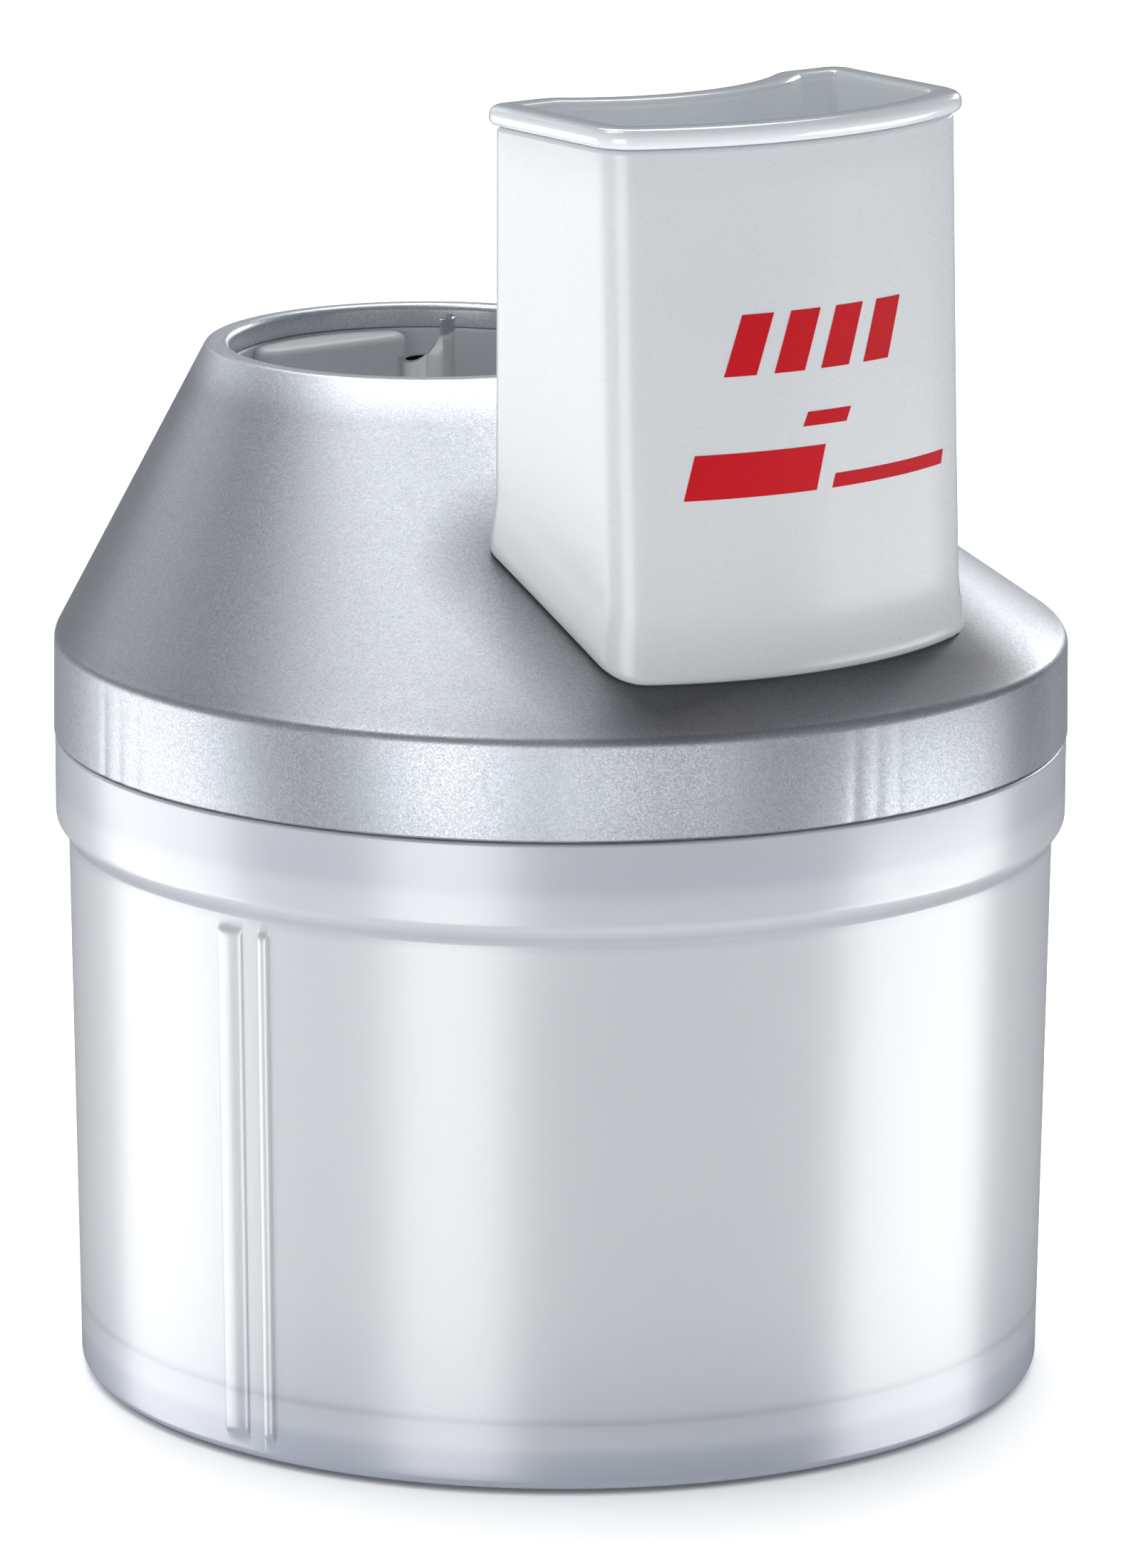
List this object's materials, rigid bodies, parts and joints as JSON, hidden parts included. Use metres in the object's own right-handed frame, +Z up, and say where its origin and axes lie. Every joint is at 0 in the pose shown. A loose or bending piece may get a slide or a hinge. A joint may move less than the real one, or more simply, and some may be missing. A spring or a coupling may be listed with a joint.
{
  "type": "food processor attachment",
  "caption": "Food processor attachment: frosted bowl, silver geared lid with off-centre drive collar, kidney-shaped feed tube with hollow pusher, and a slicing disc on a tall stem.",
  "frame": {"origin": "centre of the base, on the surface that the bowl stands on", "axes": "+Z up along the bowl's axis, +Y towards the off-centre drive collar, -Y towards the feed tube"},
  "size_m": [0.165, 0.165, 0.215],
  "materials": {
    "frosted_bowl": "frosted, fine grain",
    "silver_cover": "satin silver pearl",
    "white_tube": "satin",
    "milky_pusher": "glossy, translucent",
    "socket_plastic": "satin",
    "nylon_gear": "natural nylon",
    "steel": "ground",
    "polished_steel": "polished",
    "bronze": "sintered",
    "grey_rubber": "matt",
    "silicone": "matt, slightly translucent"
  },
  "bodies": {
    "bowl": {"bowl": "frosted_bowl", "non_slip_ring": "grey_rubber", "pivot_pin": "steel"},
    "lid": {"lid_cover": "silver_cover", "feed_tube": "white_tube", "lid_plate": "white_tube", "plate_gasket": "silicone", "wand_socket": "socket_plastic", "gear_bridge": "socket_plastic", "bridge_screws": "steel", "cover_screws": "steel", "input_lower_bush": "bronze", "input_upper_bush": "bronze", "input_seal": "grey_rubber", "output_lower_bush": "bronze", "output_upper_bush": "bronze", "output_seal": "grey_rubber"},
    "input": {"pinion_shaft": "steel", "input_clip": "steel", "coupling_pin": "steel", "drive_coupling": "polished_steel"},
    "output": {"output_gear": "nylon_gear", "output_shaft": "steel", "gear_pin": "steel", "gear_clip": "steel", "hub_ring": "silicone", "disc_carrier": "white_tube", "slicing_insert": "polished_steel", "slicing_blade": "polished_steel", "blade_rivets": "steel"},
    "pusher": {"pusher": "milky_pusher"}
  },
  "joints": [
    {"name": "lid_lift", "type": "slide", "parent": "bowl", "child": "lid", "axis": [0, 0, 1], "range_m": [0, 0.12]},
    {"name": "output_spin", "type": "hinge", "parent": "lid", "child": "output", "pos_m": [0, 0, 0.12], "axis": [0, 0, 1], "continuous": true},
    {"name": "input_spin", "type": "hinge", "parent": "lid", "child": "input", "pos_m": [0, 0.0375, 0.12], "axis": [0, 0, 1], "continuous": true},
    {"name": "pusher_slide", "type": "slide", "parent": "lid", "child": "pusher", "axis": [0, 0, 1], "range_m": [0, 0.11]}
  ],
  "couplings": [
    {"joint": "input_spin", "follows": "output_spin", "ratio": -6.5}
  ]
}
